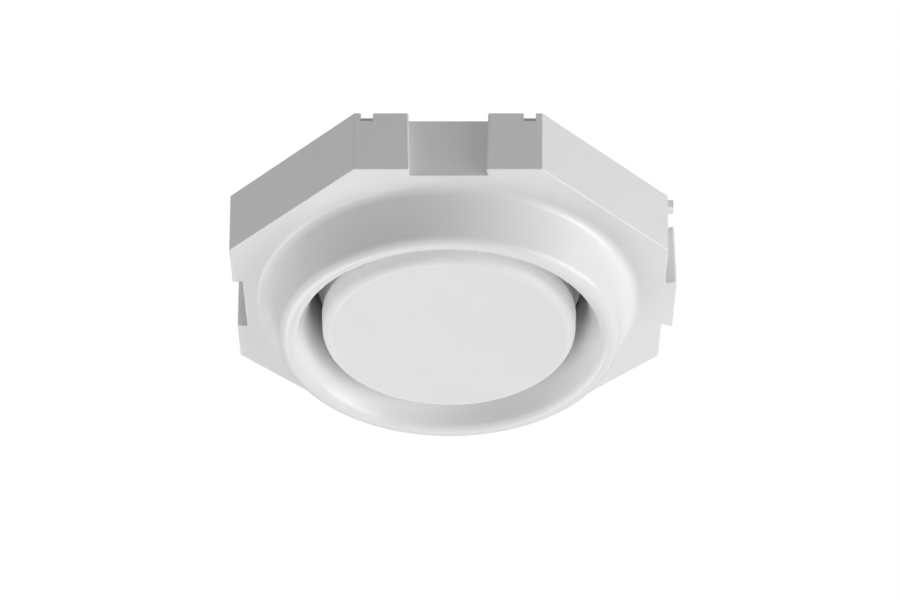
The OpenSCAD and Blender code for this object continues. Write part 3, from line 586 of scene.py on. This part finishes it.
def moulding(name, colour, inside, roughness):
    """White housing, whose colour blends to a whiter one inside the tube round the lampholder: painted light
    in the gap round the lamp.
    """
    mat, shader = plastic(name, colour, roughness, clouds=0.012, uneven=0.08, grain=0.000003)
    coordinates = node(mat, "ShaderNodeTexCoord")
    flat = node(mat, "ShaderNodeMapping", Scale=(1, 1, 0))
    link(mat, coordinates.outputs["Object"], flat.inputs["Vector"])
    reach = node(mat, "ShaderNodeVectorMath")
    reach.operation = "LENGTH"
    link(mat, flat.outputs["Vector"], reach.inputs[0])
    tone = shader.inputs["Base Color"].links[0].from_socket
    # Painted light: the tube's inside is whitened to stand in for light in the gap round the lamp
    out = ramp(mat, reach.outputs["Value"], 0.0, 1.0, (POCKET_R + TUBE_PAINTED_LIGHT[0]) * MM,
               (POCKET_R + TUBE_PAINTED_LIGHT[1]) * MM)
    link(mat, blend(mat, out, inside, tone), shader.inputs["Base Color"])
    return mat, shader


def collared(name, colour, behind, roughness):
    """Lamp's plastic: a bright collar whose side is painted paler as painted light and whose shading leans
    out towards its edge, and a duller back.
    """
    mat, shader = plastic(name, colour, roughness, clouds=0.012, uneven=0.08, grain=0.000003)
    coordinates = node(mat, "ShaderNodeTexCoord")
    split = node(mat, "ShaderNodeSeparateXYZ")
    link(mat, coordinates.outputs["Object"], split.inputs["Vector"])
    height = split.outputs["Z"]
    tone = shader.inputs["Base Color"].links[0].from_socket
    # Painted light: the lamp's side is painted paler, standing in for light on it
    side = ramp(mat, height, 0.0, 1.0, (LAMP_FRONT + SIDE_PAINTED_LIGHT[0]) * MM, (LAMP_FRONT + SIDE_PAINTED_LIGHT[1]) * MM)
    tone = blend(mat, side, tone, scaled(colour, SIDE_PAINTED_LIGHT_GAIN))
    back = ramp(mat, height, 0.0, 1.0, (COLLAR_Z + BACK_DULL[0]) * MM, (COLLAR_Z + BACK_DULL[1]) * MM)
    link(mat, blend(mat, back, tone, behind), shader.inputs["Base Color"])
    lean = node(mat, "ShaderNodeMath")
    lean.operation = "POWER"
    lean.inputs[1].default_value = 2.0
    link(mat, ramp(mat, height, 0.0, 1.0, (COLLAR_Z - LEAN_H) * MM, COLLAR_Z * MM), lean.inputs[0])
    made = node(mat, "ShaderNodeBump", Strength=1.0, Distance=LEAN)
    link(mat, lean.outputs["Value"], made.inputs["Height"])
    link(mat, shader.inputs["Normal"].links[0].from_socket, made.inputs["Normal"])
    link(mat, made.outputs["Normal"], shader.inputs["Normal"])
    return mat, shader


def rolled(name, colour, roughness, turn=0.0, worn=None, spangle=False):
    """Rolled or drawn metal: fine streaks one way, and a zinc coat's spangle where it has one."""
    mat, shader = surface(name, colour, roughness, metallic=1.0, clouds=0.08, uneven=0.25, worn=worn,
                          cloud_scale=60.0, stretch=(1, 5, 5))
    if spangle:
        tone = blend(mat, ramp(mat, pattern(mat, "cells", 260.0), 0.0, 1.0, 0.1, 0.9),
                     scaled(colour, 0.86), scaled(colour, 1.06))
        link(mat, tone, shader.inputs["Base Color"])
    bump(mat, shader, pattern(mat, scale=500.0, stretch=(0.06, 1, 1), detail=3.0, turn=turn), 0.00001, 0.4)
    return mat, shader


def turned(name, colour, roughness):
    """Metal turned or headed: fine rings round each piece, seen as streaks, dull in places."""
    mat, shader = surface(name, colour, roughness, metallic=1.0, clouds=0.12, uneven=0.3,
                          worn=scaled(colour, 1.15), cloud_scale=220.0)
    bump(mat, shader, pattern(mat, scale=1500.0, stretch=(1, 1, 8), detail=2.0), 0.000008, 0.4)
    return mat, shader


def board(name, colour, roughness, copper):
    """Printed board: lacquer over tracks that stand out a little, paler where the glass fabric shows."""
    mat, shader = surface(name, colour, roughness, clouds=0.06, cloud_scale=120.0)
    tracks = ramp(mat, pattern(mat, "cracks", 190.0), 1.0, 0.0, 0.04, 0.07)
    tone = blend(mat, tracks, colour, copper)
    link(mat, tone, shader.inputs["Base Color"])
    bump(mat, shader, tracks, 0.00003, 0.5)
    return mat, shader


def wear(obj, finish):
    obj.data.materials.clear()
    obj.data.materials.append(finish[0])


zinc = (0.60, 0.61, 0.62)
steel = (0.56, 0.57, 0.58)
# The whiter second colour, for the tube's inside, is painted light
white_moulding = moulding("white_moulding", (0.88, 0.88, 0.88), (0.97, 0.97, 0.97), 0.22)
lamp_white = collared("lamp_white", (0.89, 0.89, 0.89), (0.84, 0.84, 0.83), 0.40)
opal = plastic("opal", (0.86, 0.86, 0.86), 0.45, clouds=0.01, uneven=0.06, grain=0.000003,
               worn=(0.86, 0.86, 0.86))
cap_white = plastic("cap_white", (0.78, 0.78, 0.76), 0.45, clouds=0.03)
holder_white = plastic("holder_white", (0.86, 0.86, 0.84), 0.42, clouds=0.03)
nylon = plastic("nylon", (0.80, 0.80, 0.76), 0.55, grain=0.00002, grain_scale=600.0, clouds=0.04)
rubber = plastic("rubber", (0.030, 0.030, 0.032), 0.70, grain=0.00003, grain_scale=1400.0, clouds=0.25,
                 worn=(0.085, 0.085, 0.08))
live_sleeve = plastic("live_sleeve", (0.16, 0.065, 0.03), 0.40, clouds=0.10, worn=(0.22, 0.11, 0.06))
neutral_sleeve = plastic("neutral_sleeve", (0.03, 0.12, 0.36), 0.40, clouds=0.10, worn=(0.08, 0.20, 0.46))
red_sleeve = plastic("red_sleeve", (0.46, 0.03, 0.025), 0.40, clouds=0.10, worn=(0.55, 0.10, 0.08))
can_sleeve = plastic("can_sleeve", (0.035, 0.04, 0.065), 0.25, clouds=0.15, worn=(0.12, 0.12, 0.15))
package_black = plastic("package_black", (0.025, 0.025, 0.025), 0.60, grain=0.00002, grain_scale=1800.0,
                        clouds=0.20, worn=(0.07, 0.07, 0.07))
resistor_coat = plastic("resistor_coat", (0.60, 0.44, 0.26), 0.30, clouds=0.10)
phosphor = plastic("phosphor", (0.76, 0.58, 0.13), 0.35, grain=0.00002, grain_scale=2500.0, clouds=0.08)
zinc_plate = rolled("zinc_plate", zinc, 0.38, worn=scaled(zinc, 1.2), spangle=True)
zinc_pillar = turned("zinc_pillar", zinc, 0.34)
plated_screw = turned("plated_screw", steel, 0.30)
brass = turned("brass", (0.70, 0.52, 0.25), 0.28)
strip = rolled("strip", (0.72, 0.45, 0.28), 0.30, turn=90, worn=(0.82, 0.58, 0.42))
nickel = turned("nickel", (0.68, 0.66, 0.62), 0.20)
aluminium = rolled("aluminium", (0.66, 0.67, 0.68), 0.36, turn=90, worn=(0.78, 0.79, 0.80))
winding = surface("winding", (0.50, 0.20, 0.07), 0.30, metallic=0.8, clouds=0.15, cloud_scale=300.0)
bump(*winding, pattern(winding[0], "z", 260.0), 0.0001, 0.8)
green_board = board("green_board", (0.02, 0.16, 0.06), 0.35, (0.05, 0.27, 0.10))
white_board = board("white_board", (0.80, 0.81, 0.79), 0.32, (0.72, 0.73, 0.70))

wear(housing, white_moulding)
wear(lamp_body, lamp_white)
wear(lamp_cover, opal)
finishes = {
    "back_plate": zinc_plate, "threaded_standoffs": zinc_pillar, "cable_grommet": rubber,
    "cable_clamp": nylon, "cable_clamp_screws": plated_screw, "terminal_block": nylon,
    "terminal_clamps": brass, "terminal_screws": plated_screw, "terminal_block_screw": plated_screw,
    "live_lead": live_sleeve, "neutral_lead": neutral_sleeve, "holder_body": holder_white,
    "holder_cover": holder_white, "holder_cover_screws": plated_screw, "live_contact": strip,
    "neutral_contact": strip, "fixing_screws": plated_screw, "lamp_heat_sink": aluminium,
    "led_board": white_board, "led_chips": phosphor, "led_board_screws": plated_screw,
    "lamp_cap": cap_white, "contact_pins": nickel, "driver_board": green_board,
    "driver_capacitor": can_sleeve, "driver_inductor": winding, "driver_rectifier": package_black,
    "driver_chip": package_black, "driver_resistor": resistor_coat, "pin_wires": red_sleeve,
    "led_wires": red_sleeve}
for name, finish in finishes.items():
    wear(nodes[name], finish)


# Camera, in millimetres and degrees, as fitted to the photograph
CAMERA_AT = (4.961, -673.986, -514.471)
CAMERA_ELEVATION = -36.34
CAMERA_AZIMUTH = 0.3986
CAMERA_ROLL = 0.2639
FOCAL_PIXELS = 2794.0
IMAGE_WIDTH = 900.0

azimuth, elevation, roll = (math.radians(a) for a in (CAMERA_AZIMUTH, CAMERA_ELEVATION, CAMERA_ROLL))
back = Vector((math.sin(azimuth) * math.cos(elevation), -math.cos(azimuth) * math.cos(elevation),
               math.sin(elevation)))
level = Vector((math.cos(azimuth), math.sin(azimuth), 0))
upright = back.cross(level)
right = level * math.cos(roll) + upright * math.sin(roll)
up = upright * math.cos(roll) - level * math.sin(roll)
camera_data = bpy.data.cameras.new("camera")
camera_data.sensor_width = 36.0
camera_data.lens = FOCAL_PIXELS * camera_data.sensor_width / IMAGE_WIDTH
camera = bpy.data.objects.new("camera", camera_data)
turned_to = Matrix((right, up, back)).transposed().to_4x4()
camera.matrix_world = Matrix.Translation(Vector(CAMERA_AT) * MM) @ turned_to
bpy.context.scene.collection.objects.link(camera)
bpy.context.scene.camera = camera


# Stage: a pale floor well below the light, and a world that the camera sees white
FLOOR_HALF = 60000.0
FLOOR_DEPTH = 1500.0
FLOOR_PALE = 0.92
WORLD_GLOW = 0.36
LIGHT_AWAY = 1.05


def make_floor():
    """Lit floor, mixed with plain white where the camera sees it."""
    bm = bmesh.new()
    bmesh.ops.create_grid(bm, x_segments=1, y_segments=1, size=FLOOR_HALF)
    bmesh.ops.translate(bm, vec=(0, 0, -FLOOR_DEPTH), verts=bm.verts)
    floor = new_object("floor", bm)
    mat, shader = plastic("floor", (0.8, 0.8, 0.8), 0.8, worn=(0.8, 0.8, 0.8))
    pale = node(mat, "ShaderNodeEmission", Color=(1, 1, 1, 1), Strength=1.0)
    share = node(mat, "ShaderNodeMath")
    share.operation = "MULTIPLY"
    share.inputs[1].default_value = FLOOR_PALE
    link(mat, node(mat, "ShaderNodeLightPath").outputs["Is Camera Ray"], share.inputs[0])
    both = node(mat, "ShaderNodeMixShader")
    link(mat, share.outputs["Value"], both.inputs[0])
    link(mat, shader.outputs["BSDF"], both.inputs[1])
    link(mat, pale.outputs["Emission"], both.inputs[2])
    link(mat, both.outputs["Shader"], mat.node_tree.nodes["Material Output"].inputs["Surface"])
    wear(floor, (mat, shader))


make_floor()

world = bpy.data.worlds.new("world")
bpy.context.scene.world = world
world.use_nodes = True
tree = world.node_tree
tree.nodes.clear()
path = tree.nodes.new("ShaderNodeLightPath")
seen = tree.nodes.new("ShaderNodeBackground")
seen.inputs["Color"].default_value = (1, 1, 1, 1)
seen.inputs["Strength"].default_value = 1.0
glow = tree.nodes.new("ShaderNodeBackground")
glow.inputs["Color"].default_value = (1, 1, 1, 1)
glow.inputs["Strength"].default_value = WORLD_GLOW
mixer = tree.nodes.new("ShaderNodeMixShader")
output = tree.nodes.new("ShaderNodeOutputWorld")
tree.links.new(path.outputs["Is Camera Ray"], mixer.inputs["Fac"])
tree.links.new(glow.outputs["Background"], mixer.inputs[1])
tree.links.new(seen.outputs["Background"], mixer.inputs[2])
tree.links.new(mixer.outputs["Shader"], output.inputs["Surface"])


def softbox(name, turn, lift, size, power):
    """Square area light aimed at the lamp, by its turn about Z from +X and its angle below level, in degrees.

    Its size is in metres and its power in watts."""
    turn, lift = math.radians(turn), math.radians(lift)
    aim = Vector((0, 0, -0.02))
    away = Vector((math.cos(lift) * math.cos(turn), math.cos(lift) * math.sin(turn), -math.sin(lift)))
    data = bpy.data.lights.new(name, "AREA")
    data.shape = "SQUARE"
    data.size = size
    data.energy = power
    light = bpy.data.objects.new(name, data)
    light.location = aim + LIGHT_AWAY * away
    light.visible_camera = False
    light.rotation_mode = "QUATERNION"
    light.rotation_quaternion = (-away).to_track_quat("-Z", "Y")
    bpy.context.scene.collection.objects.link(light)


for place in (("right_low", -4, 12, 0.6, 3.3), ("right", -18, 30, 0.65, 3.9),
              ("right_high", 17, 57, 0.5, 0.5), ("far_high", 122, 47, 0.6, 2.8), ("left", 165, 30, 1, 3.5),
              ("above", 0, -90, 0.8, 3)):
    softbox(*place)

bpy.context.scene.view_settings.view_transform = "Standard"
